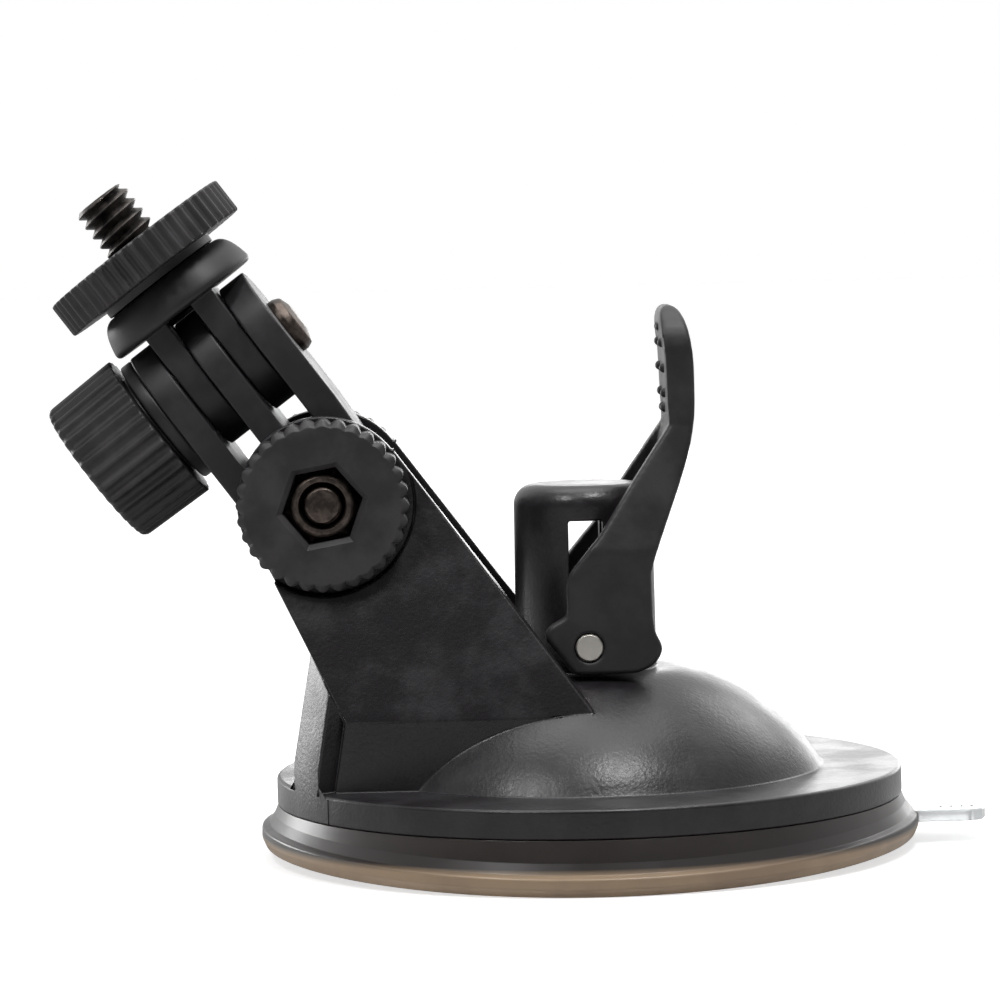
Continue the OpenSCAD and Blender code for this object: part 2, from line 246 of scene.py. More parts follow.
def make_handling():
    tree = new_tree(
        "handling", "ShaderNodeTree", [("Patch size", FLOAT, 0.006)], [("Mask", FLOAT, None)]
    )
    bench = Bench(tree)
    place = bench.put("ShaderNodeTexCoord").outputs["Object"]
    scale = bench.calc("DIVIDE", 1.0, bench.given["Patch size"])
    cloud = bench.put(
        "ShaderNodeTexNoise", {"Vector": place, "Scale": scale, "Detail": 4.0, "Roughness": 0.62}
    )
    mask = bench.put(
        "ShaderNodeMapRange",
        {"Value": cloud.outputs[0], "From Min": CLEAN_BELOW, "From Max": HANDLED_ABOVE},
        interpolation_type="SMOOTHSTEP",
    )
    bench.feed(bench.put("NodeGroupOutput"), "Mask", mask.outputs[0])
    return tree


handling_group = make_handling()
print("handling has", len(handling_group.nodes), "nodes")

# %% [markdown]
# ## The finishes
# Every opaque finish is the same recipe: a dark and a light tone mixed by the handling mask and the edge
# mask, a roughness that the same masks move, and the grain as a bump whose height is a true length. The
# light tone is a painted highlight along the edges and the handled patches' own colour. Only the numbers
# differ between a matte moulding, a plated steel and a bright pin.

# %% Recipe for an opaque finish
EDGE_STRENGTH, HANDLING_SHARE, SPARKLE_SHARE = 1.6, 0.35, 0.06


def empty_finish(name):
    """A new material without nodes, and a bench for its tree."""
    material = bpy.data.materials.new(name)
    material.use_nodes = True
    material.node_tree.nodes.clear()
    return material, Bench(material.node_tree)


def solid_finish(name, tone, highlight_and_handled_tone, rough, edge_rough, grain, depth, metal=0.0, patch=0.006, vary=0.08,
                 edge_reach=0.00025, specular=0.5):
    """An opaque finish. Its grain, patches and edges are in metres."""
    material, bench = empty_finish(name)
    grain_node = bench.put("ShaderNodeGroup", {"Grain size": grain, "Grain depth": depth},
                           node_tree=grain_group)
    edge_node = bench.put("ShaderNodeGroup", {"Reach": edge_reach, "Strength": EDGE_STRENGTH},
                          node_tree=edge_group)
    handling = bench.put("ShaderNodeGroup", {"Patch size": patch}, node_tree=handling_group)
    patchy = bench.calc("MULTIPLY", handling.outputs["Mask"], HANDLING_SHARE)
    handled_and_edge_highlight = bench.calc("MAXIMUM", edge_node.outputs["Mask"], patchy)
    # The lighter tone is painted on the edges as a highlight, and on the handled patches as their own
    # colour.
    colour = bench.put(
        "ShaderNodeMix", {"Factor": handled_and_edge_highlight, "A": (*tone, 1), "B": (*highlight_and_handled_tone, 1)}, data_type="RGBA"
    )
    spread = bench.calc("MULTIPLY_ADD", handling.outputs["Mask"], vary, rough)
    speckled = bench.calc("MULTIPLY_ADD", grain_node.outputs["Sparkle"], SPARKLE_SHARE, spread)
    roughness = bench.put(
        "ShaderNodeMix", {"Factor": edge_node.outputs["Mask"], "A": speckled, "B": edge_rough},
        data_type="FLOAT",
    )
    bump = bench.put(
        "ShaderNodeBump", {"Height": grain_node.outputs["Height"], "Strength": 1.0, "Distance": 1.0}
    )
    shader = bench.put(
        "ShaderNodeBsdfPrincipled",
        {"Base Color": named(colour.outputs, "Result"), "Roughness": named(roughness.outputs, "Result"),
         "Metallic": metal, "Specular IOR Level": specular, "Normal": bump.outputs[0]},
    )
    bench.put("ShaderNodeOutputMaterial", {"Surface": shader.outputs[0]})
    return material


base_black = solid_finish("moulded_black_grained", (0.0095, 0.0083, 0.0095), (0.035, 0.033, 0.036),
                          0.29, 0.26, 0.00045, 0.00002, specular=0.42)
print(base_black.name, "has", len(base_black.node_tree.nodes), "nodes")

# %% [markdown]
# The mouldings are black ABS. The base, made above, has the coarser leather grain that shows as speckle
# in its highlights, and the arm's small parts have a finer one. The knurled parts are a little paler all
# over. The fasteners are dark plated steel with a brown cast, the camera stud is black oxide, and the
# lever's pin is bright. Each finish's second, lighter tone is a painted highlight on its edges, palest on
# the metals, where it draws bright rings on the nuts and bolt heads.

# %% Plastics and metals
fine_black = solid_finish("moulded_black_fine", (0.0105, 0.0094, 0.0105), (0.04, 0.038, 0.041),
                          0.42, 0.32, 0.00022, 0.000005, specular=0.42)
knob_black = solid_finish("knurled_black", (0.0125, 0.0112, 0.012), (0.06, 0.056, 0.06),
                          0.46, 0.34, 0.00018, 0.000004, specular=0.45)
# The metals' pale second tones are painted highlights on their edges.
plated_dark = solid_finish("plated_dark_steel", (0.045, 0.037, 0.033), (0.26, 0.21, 0.18), 0.34, 0.22,
                           0.00012, 0.0000018, metal=1.0, patch=0.0015, vary=0.14)
oxide_black = solid_finish("black_oxide_steel", (0.035, 0.032, 0.031), (0.2, 0.18, 0.165), 0.34, 0.22,
                           0.00016, 0.000002, metal=1.0, patch=0.002, vary=0.16, edge_reach=0.00012)
bright_steel = solid_finish("bright_pin_steel", (0.5, 0.48, 0.44), (0.66, 0.64, 0.6), 0.36, 0.28,
                            0.00025, 0.000004, metal=1.0, patch=0.0009, vary=0.2)
print("plastics:", base_black.name, fine_black.name, knob_black.name)
print("metals:", plated_dark.name, oxide_black.name, bright_steel.name)

# %% [markdown]
# The cup and the tab are soft clear plastics, so they let light through. The cup is smoky with a warm
# tint: looking through its thin lip it is amber. Its tint is deeper where a cloudy noise says so, and fine
# scuffs lie on it. A second, nearly black tint, `above`, takes over between two heights: it is painted
# shade on the cup's upper part, which lies under the plate against the black base.

# %% Clear finishes
SOFT_PLASTIC_IOR, SCUFF_ROUGHNESS = 1.46, 0.12


def clear_finish(name, tint, deep_tint, rough, patch, grain, depth, transmission, above=None):
    """A see-through finish. `above` is (painted shade tint, start, end), with heights in millimetres."""
    material, bench = empty_finish(name)
    handling = bench.put("ShaderNodeGroup", {"Patch size": patch}, node_tree=handling_group)
    grain_node = bench.put("ShaderNodeGroup", {"Grain size": grain, "Grain depth": depth},
                           node_tree=grain_group)
    colour = bench.put(
        "ShaderNodeMix", {"Factor": handling.outputs["Mask"], "A": (*tint, 1), "B": (*deep_tint, 1)},
        data_type="RGBA",
    )
    tinted = named(colour.outputs, "Result")
    # Painted shade: between the two heights the tint turns to the nearly black shade tint.
    if above is not None:
        shaded_upper_tint, start, end = above
        place = bench.put("ShaderNodeSeparateXYZ", {0: bench.put("ShaderNodeTexCoord").outputs["Object"]})
        climb = bench.put("ShaderNodeMapRange", {
            "Value": place.outputs["Z"], "From Min": start * MM, "From Max": end * MM})
        both = bench.put(
            "ShaderNodeMix", {"Factor": climb.outputs[0], "A": tinted, "B": (*shaded_upper_tint, 1)},
            data_type="RGBA",
        )
        tinted = named(both.outputs, "Result")
    roughness = bench.calc("MULTIPLY_ADD", handling.outputs["Mask"], SCUFF_ROUGHNESS, rough)
    bump = bench.put(
        "ShaderNodeBump", {"Height": grain_node.outputs["Height"], "Strength": 1.0, "Distance": 1.0}
    )
    shader = bench.put(
        "ShaderNodeBsdfPrincipled",
        {"Base Color": tinted, "Roughness": roughness, "IOR": SOFT_PLASTIC_IOR,
         "Transmission Weight": transmission, "Normal": bump.outputs[0]},
    )
    bench.put("ShaderNodeOutputMaterial", {"Surface": shader.outputs[0]})
    return material


# The nearly black tint from 2.1 to 2.7 mm up is painted shade on the cup under the plate.
smoky_soft = clear_finish("smoky_soft_plastic", (0.72, 0.52, 0.34), (0.6, 0.43, 0.29), 0.3, 0.012,
                          0.0011, 0.000004, 0.6, above=((0.05, 0.043, 0.042), 2.1, 2.7))
clear_soft = clear_finish("clear_soft_plastic", (0.84, 0.86, 0.87), (0.76, 0.78, 0.79), 0.14, 0.004,
                          0.0009, 0.000003, 0.5)
print("soft plastics:", smoky_soft.name, clear_soft.name)

# %% [markdown]
# ## Finishing a mesh
# A modifier is live until its result is taken as a plain mesh. `plain_mesh` puts a chain of modifiers on
# a helper object, keeps the evaluated mesh and throws the helper away, so nothing live is left on a
# piece. An input of a Geometry Nodes modifier is set before the first evaluation, or it would be
# ignored.

# %% Take a modifier's result
def plain_mesh(name, mesh, modifiers=()):
    """The mesh after a chain of modifiers, given as (type, settings)."""
    helper = bpy.data.objects.new(name, mesh)
    bpy.context.scene.collection.objects.link(helper)
    for kind, settings in modifiers:
        modifier = helper.modifiers.new(kind.lower(), kind)
        for setting, value in settings.items():
            if setting.startswith("Socket"):
                modifier[setting] = value
            else:
                setattr(modifier, setting, value)
    bpy.context.view_layer.update()
    result = bpy.data.meshes.new_from_object(helper.evaluated_get(bpy.context.evaluated_depsgraph_get()))
    bpy.data.objects.remove(helper)
    result.name = name
    return result


print("helper ready:", plain_mesh.__name__)

# %% [markdown]
# A mesh made by bending a grid round an axis has a seam where its two ends meet, and points that fall
# together at the poles. Welding closes them, and then the faces can be turned outwards.

# %% Weld and turn outwards
WELD_WITHIN = 1e-7


def outward(mesh):
    """Welds a mesh and turns its faces outwards."""
    bm = bmesh.new()
    bm.from_mesh(mesh)
    bmesh.ops.remove_doubles(bm, verts=bm.verts, dist=WELD_WITHIN)
    bmesh.ops.dissolve_degenerate(bm, edges=bm.edges, dist=WELD_WITHIN)
    bmesh.ops.recalc_face_normals(bm, faces=bm.faces)
    bm.to_mesh(mesh)
    bm.free()
    return mesh


print("points closer than", WELD_WITHIN / MM, "mm are welded")

# %% [markdown]
# Every piece ends the same way: smooth shading with sharp creases kept, and normals weighted by face
# size, so that large flats look flat right up to their rounded edges. Then the piece rides on its body
# and stands for the CAD nodes that it replaces.

# %% Finish a piece
CREASE = 40


def finish_piece(name, mesh, body, replaced=(), finish=None, crease=CREASE):
    """Shades a mesh and puts it on its body."""
    mesh.shade_smooth()
    mesh.set_sharp_from_angle(angle=math.radians(crease))
    mesh = plain_mesh(name, mesh, [("WEIGHTED_NORMAL", {"keep_sharp": True})])
    if finish is not None:
        mesh.materials.clear()
        mesh.materials.append(finish)
    piece = bpy.data.objects.new(name, mesh)
    bpy.context.scene.collection.objects.link(piece)
    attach(piece, body)
    if replaced:
        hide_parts(*replaced)
    print(f"{name}: {len(mesh.polygons)} faces on {body}")


print("edges that turn more than", CREASE, "degrees stay sharp")

# %% [markdown]
# ## The end of every Geometry Nodes tree
# Copies made by a tree are only instances, and an export drops them, so each tree makes them real as its
# last act and gives the result its finish. Two of the trees below also bend a grid, and end alike.

# %% End a tree
SEAM_WITHIN = 1e-6


def end_tree(bench, geometry):
    """Makes instances real, sets the finish and hands the geometry out."""
    real = bench.put("GeometryNodeRealizeInstances", {"Geometry": geometry})
    coated = bench.put("GeometryNodeSetMaterial", {
        "Geometry": real.outputs[0], "Material": bench.given["Finish"]})
    bench.put("NodeGroupOutput", {"Geometry": coated.outputs[0]})


def bend_grid(bench, grid, x, y, z):
    """Moves a grid's points to new places, welds its seam and ends the tree."""
    bent = bench.put("ShaderNodeCombineXYZ", {0: x, 1: y, 2: z})
    placed = bench.put("GeometryNodeSetPosition", {
        "Geometry": grid.outputs["Mesh"], "Position": bent.outputs[0]})
    closed = bench.put("GeometryNodeMergeByDistance", {
        "Geometry": placed.outputs[0], "Distance": SEAM_WITHIN})
    end_tree(bench, closed.outputs[0])


print("a bent grid's seam is closed within", SEAM_WITHIN / MM, "mm")

# %% [markdown]
# ## Turned and knurled pieces
# The knobs, the lock wheel, the washer, the nuts and the cup are all a half section turned about an
# axis. Spin or Screw would turn them, but not flute them. Here a Geometry Nodes tree does both: it lays
# a grid, one column for each step round and one row for each point of the section, and bends it round
# the axis. The section's points carry two weights: `flute`, how deep the knurl cuts there, and
# `hexagon`, whether the radius there is to the flat of a hexagon instead of a circle.

# %% Tree for turned pieces
def make_turning():
    tree = new_tree(
        "turned_and_fluted", "GeometryNodeTree",
        [("Section", GEOMETRY, None), ("Steps round", WHOLE, 96), ("Flutes", WHOLE, 32),
         ("Flute depth", FLOAT, 0.0004), ("Crest shape", FLOAT, 1.0), ("Turn", FLOAT, 0.0),
         ("Finish", MATERIAL, None)],
        [("Geometry", GEOMETRY, None)],
    )
    bench = Bench(tree)
    given, calc = bench.given, bench.calc
    rows = bench.put("GeometryNodeAttributeDomainSize", {"Geometry": given["Section"]}, component="MESH")
    rows = rows.outputs["Point Count"]
    grid = bench.put("GeometryNodeMeshGrid", {
        "Vertices X": calc("ADD", given["Steps round"], 1), "Vertices Y": rows})
    index = bench.put("GeometryNodeInputIndex").outputs[0]
    column = calc("FLOOR", calc("DIVIDE", calc("ADD", index, 0.5), rows))
    row = calc("SUBTRACT", index, calc("MULTIPLY", column, rows))

    def at_row(value, data_type):
        return bench.put("GeometryNodeSampleIndex", {
            "Geometry": given["Section"], "Value": value, "Index": row}, data_type=data_type).outputs[0]

    def weight(name):
        read = bench.put("GeometryNodeInputNamedAttribute", {"Name": name}, data_type="FLOAT")
        return at_row(read.outputs[0], "FLOAT")

    point = at_row(bench.put("GeometryNodeInputPosition").outputs[0], "FLOAT_VECTOR")
    point = bench.put("ShaderNodeSeparateXYZ", {0: point})
    round_by = calc("MULTIPLY", calc("DIVIDE", column, given["Steps round"]), math.tau)
    lobe = calc("COSINE", calc("MULTIPLY", round_by, given["Flutes"]))
    crest = calc("POWER", calc("MULTIPLY_ADD", lobe, 0.5, 0.5), given["Crest shape"])
    cut = calc("MULTIPLY", calc("SUBTRACT", 1.0, crest), given["Flute depth"])
    cut = calc("MULTIPLY", cut, weight("flute"))
    in_side = calc("SUBTRACT", calc("FLOORED_MODULO", round_by, math.tau / 6), math.tau / 12)
    to_flat = calc("SUBTRACT", calc("DIVIDE", 1.0, calc("COSINE", in_side)), 1.0)
    stretch = calc("MULTIPLY_ADD", to_flat, weight("hexagon"), 1.0)
    radius = calc("SUBTRACT", calc("MULTIPLY", point.outputs["X"], stretch), cut)
    angle = calc("ADD", round_by, given["Turn"])
    bend_grid(bench, grid, calc("MULTIPLY", radius, calc("COSINE", angle)),
              calc("MULTIPLY", radius, calc("SINE", angle)), point.outputs["Z"])
    return tree


turning_tree = make_turning()
print("the turning tree has", len(turning_tree.nodes), "nodes")

# %% [markdown]
# A modifier knows a tree's inputs by identifiers such as Socket_3, not by their names. `grow` looks them
# up, so that the rest of the lesson can give the sizes by name.

# %% Run a tree
def socket_ids(tree):
    """The identifier of each of a tree's inputs, by the name that a reader sees."""
    return {item.name: item.identifier for item in tree.interface.items_tree if item.in_out == "INPUT"}


def grow(name, tree, start, **values):
    """Runs a Geometry Nodes tree on a mesh and gives back the plain result."""
    ids = socket_ids(tree)
    settings = {ids[key.replace("_", " ").capitalize()]: value for key, value in values.items()}
    return plain_mesh(name, start, [("NODES", {"node_group": tree, **settings})])


print("turning tree inputs:", ", ".join(socket_ids(turning_tree)))

# %% [markdown]
# A section is written as its corners: radius, height and the radius of the rounding there, with the two
# weights where they aren't zero. Rounding each corner with a short arc is what makes an edge catch light.

# %% Sections with rounded corners
ARC_STEPS = 4


def section(name, corners):
    """A row of points in metres from corners (radius, height, rounding, flute, hexagon)."""
    full = [tuple(c) + (0,) * (5 - len(c)) for c in corners]
    points = []
    for i, (r, z, rounding, flute, hexagon) in enumerate(full):
        here = Vector((r, z))
        if rounding <= 0 or i in (0, len(full) - 1):
            points.append((r, z, flute, hexagon))
            continue
        back, ahead = Vector(full[i - 1][:2]) - here, Vector(full[i + 1][:2]) - here
        bend = back.angle(ahead)
        run = min(rounding / math.tan(bend / 2), 0.49 * back.length, 0.49 * ahead.length)
        start, end = here + back.normalized() * run, here + ahead.normalized() * run
        for step in range(ARC_STEPS + 1):
            t = step / ARC_STEPS
            spot = start * (1 - t) ** 2 + here * 2 * t * (1 - t) + end * t ** 2
            points.append((spot.x, spot.y, flute, hexagon))
    mesh = bpy.data.meshes.new(name)
    mesh.from_pydata([(r * MM, 0, z * MM) for r, z, _, _ in points],
                     [(i, i + 1) for i in range(len(points) - 1)], [])
    for label, column in (("flute", 2), ("hexagon", 3)):
        weights = mesh.attributes.new(label, "FLOAT", "POINT")
        weights.data.foreach_set("value", [float(p[column]) for p in points])
    return mesh


print("each rounded corner takes", ARC_STEPS + 1, "points")

# %% [markdown]
# `turned` runs the tree on a section, drops the weights, which are of no more use, and puts the piece in
# its place. `joined` makes one mesh of several and keeps their finishes.

# %% Turned pieces and joined meshes
def turned(name, corners, finish, where, steps=96, flutes=32, depth=0.0, crest=1.0, turn=0.0):
    """A turned piece's mesh, in place. Its corners are in millimetres."""
    mesh = grow(name, turning_tree, section(name, corners), steps_round=steps, flutes=flutes,
                flute_depth=depth * MM, crest_shape=crest, turn=turn, finish=finish)
    for extra in ("flute", "hexagon"):
        if extra in mesh.attributes:
            mesh.attributes.remove(mesh.attributes[extra])
    mesh.transform(where)
    return outward(mesh)


def joined(name, *meshes):
    """Several meshes as one, with their materials kept."""
    bm = bmesh.new()
    finishes = []
    for mesh in meshes:
        before = len(bm.faces)
        bm.from_mesh(mesh)
        bm.faces.ensure_lookup_table()
        for material in mesh.materials:
            if material not in finishes:
                finishes.append(material)
        for face in bm.faces[before:]:
            face.material_index = finishes.index(mesh.materials[face.material_index])
    result = bpy.data.meshes.new(name)
    bm.to_mesh(result)
    bm.free()
    for material in finishes:
        result.materials.append(material)
    return result


print("helpers ready:", turned.__name__, joined.__name__)

# %% [markdown]
# ## Screw threads
# A thread is a ridge that climbs round its rod. In this tree the grid's rows climb with it, one pitch for
# each turn, so each row lies exactly along a crest or a root, and the crest stays sharp with few faces.
# Beyond each end the rows stop climbing and shrink to the axis, which closes the rod with flat ends that
# follow the thread's own outline.

# %% Tree for threads
CLOSING = 0.001
RIDGE_GAIN = 1.12


def make_threading():
    tree = new_tree(
        "threaded_rod", "GeometryNodeTree",
        [("Geometry", GEOMETRY, None), ("Length", FLOAT, 0.01), ("Pitch", FLOAT, 0.00127),
         ("Crest radius", FLOAT, 0.0031), ("Root radius", FLOAT, 0.0024), ("Lead in", FLOAT, 0.0006),
         ("Rows per turn", WHOLE, 10), ("Steps round", WHOLE, 40), ("Finish", MATERIAL, None)],
        [("Geometry", GEOMETRY, None)],
    )
    bench = Bench(tree)
    given, calc = bench.given, bench.calc
    rise = calc("DIVIDE", given["Pitch"], given["Rows per turn"])
    whole = calc("ADD", calc("ADD", given["Length"], given["Pitch"]), 2 * CLOSING)
    rows = calc("ADD", calc("CEIL", calc("DIVIDE", whole, rise)), 2.0)
    grid = bench.put("GeometryNodeMeshGrid", {"Vertices X": calc("ADD", given["Steps round"], 1),
                                              "Vertices Y": rows})
    index = bench.put("GeometryNodeInputIndex").outputs[0]
    column = calc("FLOOR", calc("DIVIDE", calc("ADD", index, 0.5), rows))
    row = calc("SUBTRACT", index, calc("MULTIPLY", column, rows))
    share = calc("DIVIDE", column, given["Steps round"])
    climbed = calc("MULTIPLY", calc("SUBTRACT", share, 1.0), given["Pitch"])
    height = calc("ADD", calc("SUBTRACT", calc("MULTIPLY", row, rise), CLOSING), climbed)
    held = calc("MINIMUM", calc("MAXIMUM", height, 0.0), given["Length"])
    past = calc("ABSOLUTE", calc("SUBTRACT", height, held))
    shrink = calc("MAXIMUM", calc("SUBTRACT", 1.0, calc("DIVIDE", past, CLOSING)), 0.0)
    phase = calc("FRACT", calc("ADD", calc("SUBTRACT", calc("DIVIDE", held, given["Pitch"]), share), 8.0))
    ridge = calc("SUBTRACT", 1.0, calc("ABSOLUTE", calc("MULTIPLY_ADD", phase, 2.0, -1.0)))
    ridge = calc("MINIMUM", calc("MULTIPLY", ridge, RIDGE_GAIN), 1.0)
    deep = calc("SUBTRACT", given["Crest radius"], given["Root radius"])
    radius = calc("ADD", given["Root radius"], calc("MULTIPLY", ridge, deep))
    to_end = calc("MINIMUM", held, calc("SUBTRACT", given["Length"], held))
    cone = calc("ADD", calc("SUBTRACT", given["Crest radius"], given["Lead in"]), to_end)
    radius = calc("MULTIPLY", calc("MINIMUM", radius, cone), shrink)
    angle = calc("MULTIPLY", share, math.tau)
    bend_grid(bench, grid, calc("MULTIPLY", radius, calc("COSINE", angle)),
              calc("MULTIPLY", radius, calc("SINE", angle)), held)
    return tree


threading_tree = make_threading()
print("threading tree inputs:", ", ".join(socket_ids(threading_tree)))

# %% [markdown]
# All three bolts of the mount are M4 or quarter-inch, so a thread is given as (pitch, crest radius, root
# radius), and each size is written once.

# %% Standard threads
M4 = (0.7, 1.98, 1.66)
QUARTER_INCH = (1.27, 3.08, 2.32)


def threaded(name, thread, length, lead_in, finish, where, rows, steps):
    """A threaded rod's mesh, in place. Its sizes are in millimetres."""
    pitch, crest, root = thread
    mesh = grow(name, threading_tree, bpy.data.meshes.new(name), length=length * MM, pitch=pitch * MM,
                crest_radius=crest * MM, root_radius=root * MM, lead_in=lead_in * MM,
                rows_per_turn=rows, steps_round=steps, finish=finish)
    mesh.transform(where)
    return outward(mesh)


print("pitches:", M4[0], "and", QUARTER_INCH[0], "mm")

# %% [markdown]
# ## The knobs on the lower pivot
# Two equal knobs clamp the link between the arm's walls. Each has 32 rounded lobes and a hexagonal pocket
# with a chamfered mouth. The near one holds a lock nut with a round collar, the far one the bolt's head.

# %% Pivot knobs
KNOB_SEAT = 9.7
KNOB_R = 8.95
KNOB_T = 4.5
NUT_TURN = math.radians(10)
LOBES, STEPS_PER_LOBE = 32, 12
knob_corners = [
    (2.1, 0), (KNOB_R, 0, 0.3, 1), (KNOB_R, KNOB_T - 0.5, 0.35, 1), (KNOB_R - 0.75, KNOB_T, 0.35, 0.35),
    (4.2, KNOB_T, 0.08, 0, 1), (3.68, KNOB_T - 0.5, 0.08, 0, 1), (3.65, 0.9, 0, 0, 1), (2.1, 0.9), (2.1, 0),
]
near_side = set_down(PIVOT - Y * KNOB_SEAT * MM, -Y, X)
far_side = set_down(PIVOT + Y * KNOB_SEAT * MM, Y, X)
for piece, side, body, node in (("pivot_knob_knurled", near_side, "front_knob", "pivot_knob"),
                                ("pivot_cap_knurled", far_side, "rear_knob", "pivot_cap")):
    mesh = turned(piece, knob_corners, knob_black, side, steps=LOBES * STEPS_PER_LOBE, flutes=LOBES,
                  depth=0.5, crest=0.55, turn=NUT_TURN)
    finish_piece(piece, mesh, body, [node])

# %% [markdown]
# The lock nut is a hexagon whose top is turned to a collar, with a lip round its dark throat. The bolt's
# tip stands in the throat with a chamfered end. An M4 nut is 7 mm across its flats.

# %% Lock nut
NUT_FOOT, NUT_TOP = 0.96, 3.84
NUT_FLAT, NUT_BORE = 3.5, 2.06
nut_corners = [
    (NUT_BORE, NUT_FOOT), (NUT_FLAT, NUT_FOOT, 0.1, 0, 1), (NUT_FLAT, 2.55, 0.06, 0, 1), (3.4, 2.95, 0.1),
    (3.28, 3.1, 0.1), (3.22, NUT_TOP - 0.2, 0.15), (2.95, NUT_TOP, 0.12), (2.5, NUT_TOP, 0.06),
    (2.42, NUT_TOP - 0.25, 0.1), (2.3, 2.2, 0.1), (NUT_BORE, 1.9), (NUT_BORE, NUT_FOOT),
]
lock_nut = turned("lock_nut", nut_corners, plated_dark, near_side, turn=NUT_TURN)
finish_piece("lock_nut", lock_nut, "front_knob", ["pivot_nut"])

# %% [markdown]
# The bolt passes through both knobs and the link. Its rod and its hexagon head are two shapes, one
# climbing and one turned, joined as one piece, because the real bolt is one piece of steel.

# %% Bolt of the lower pivot
BOLT_TIP, BOLT_HEAD, HEAD_TOP = 3.75, 0.96, 3.74
BOLT_LEAD = 0.3
bolt_start = PIVOT - Y * (KNOB_SEAT + BOLT_TIP) * MM
bolt_rod = threaded("pivot_bolt_rod", M4, 2 * KNOB_SEAT + BOLT_TIP + BOLT_HEAD, BOLT_LEAD, plated_dark,
                    set_down(bolt_start, Y, X), rows=8, steps=32)
bolt_head_corners = [
    (0, BOLT_HEAD), (NUT_FLAT, BOLT_HEAD, 0.1, 0, 1), (NUT_FLAT, 3.35, 0.1, 0, 1), (3.2, HEAD_TOP, 0.12),
    (2.2, HEAD_TOP, 0.1), (2.0, HEAD_TOP - 0.19, 0.1), (0, HEAD_TOP - 0.19),
]
bolt_head = turned("pivot_bolt_head", bolt_head_corners, plated_dark, far_side, turn=NUT_TURN)
finish_piece("pivot_bolt_threaded", joined("pivot_bolt_threaded", bolt_rod, bolt_head), "rear_knob",
             ["pivot_bolt"])

# %% [markdown]
# ## The thumb knob of the upper hinge
# A deeper knob with long flutes, a little narrower at its outer end. A plain neck holds it off the
# washer, and a nut is pressed into its inner end.

# %% Thumb knob
NECK_START = 8.9
NECK, KNOB_END = 0.3, 8.9
POCKET_END, END_DISH = 3.25, 0.4
THUMB_FLUTES = 32
out_of_link = set_down(HINGE - ACROSS_LINK * NECK_START * MM, -ACROSS_LINK, Y)
thumb_corners = [
    (3.6, 0.0, 0, 0, 1), (6.0, 0.0, 0.1), (6.0, NECK, 0.1), (8.58, NECK, 0.25, 0.8),
    (8.35, KNOB_END, 0.8, 1), (6.6, KNOB_END, 0.5), (6.2, KNOB_END - END_DISH, 0.4),
    (0, KNOB_END - END_DISH), (0, 4.0), (2.1, 4.0), (2.1, POCKET_END), (3.6, POCKET_END, 0, 0, 1),
    (3.6, 0.0, 0, 0, 1),
]
thumb = turned("thumb_knob_fluted", thumb_corners, knob_black, out_of_link,
               steps=THUMB_FLUTES * STEPS_PER_LOBE, flutes=THUMB_FLUTES, depth=0.45, crest=1.5)
finish_piece("thumb_knob_fluted", thumb, "thumb_knob", ["head_knob"])

# %% [markdown]
# The pressed-in nut is almost hidden. It is drawn all the same, because the knob could not hold the bolt
# without it. The washer keeps the turning knob from rubbing on the link's prong.

# %% Nut and washer of the upper hinge
PRESSED_START, PRESSED_END = 0.15, 3.18
thumb_nut_corners = [
    (NUT_BORE, PRESSED_START), (NUT_FLAT, PRESSED_START, 0.1, 0, 1), (NUT_FLAT, PRESSED_END, 0, 0, 1),
    (NUT_BORE, PRESSED_END), (NUT_BORE, PRESSED_START),
]
thumb_nut = turned("thumb_knob_nut", thumb_nut_corners, plated_dark, out_of_link)
finish_piece("thumb_knob_nut", thumb_nut, "thumb_knob", ["head_knob_nut"])
WASHER_START, WASHER_R, WASHER_T = 7.41, 7.28, 1.38
washer_corners = [
    (2.1, 0), (WASHER_R, 0, 0.3), (WASHER_R, WASHER_T, 0.3), (2.1, WASHER_T), (2.1, 0),
]
washer = turned("hinge_washer", washer_corners, fine_black,
                set_down(HINGE - ACROSS_LINK * WASHER_START * MM, -ACROSS_LINK, Y))
finish_piece("hinge_washer", washer, "link", ["head_washer"])

# %% [markdown]
# The hinge's bolt has a low domed head against the link's outer prong, and its thread runs on into the
# thumb knob.

# %% Hinge bolt
BOLT_IN_KNOB, INTO_DOME = 12.6, 0.1
LINK_FACE = 7.75
DOME_R, DOME_TOP = 3.18, 1.73
dome_corners = [
    (0, 0), (DOME_R, 0, 0.1), (DOME_R, 0.6, 0.3), (2.85, 1.35, 0.5), (1.7, DOME_TOP, 0.6), (0, DOME_TOP),
]
dome = turned("hinge_bolt_head", dome_corners, plated_dark,
              set_down(HINGE + ACROSS_LINK * LINK_FACE * MM, ACROSS_LINK, Y), steps=64)
hinge_rod = threaded("hinge_bolt_rod", M4, BOLT_IN_KNOB + LINK_FACE + INTO_DOME, BOLT_LEAD, plated_dark,
                     set_down(HINGE - ACROSS_LINK * BOLT_IN_KNOB * MM, ACROSS_LINK, Y), rows=8, steps=32)
finish_piece("hinge_bolt_domed", joined("hinge_bolt_domed", hinge_rod, dome), "link",
             ["head_bolt"])

# %% [markdown]
# ## The lock wheel and the camera stud
# The stud has the photographic quarter-inch thread, 1.27 mm a turn. Its lower end stands a little out of
# the disc. The wheel runs up the stud to clamp a camera, and has 48 shallow flutes and a thin hub.

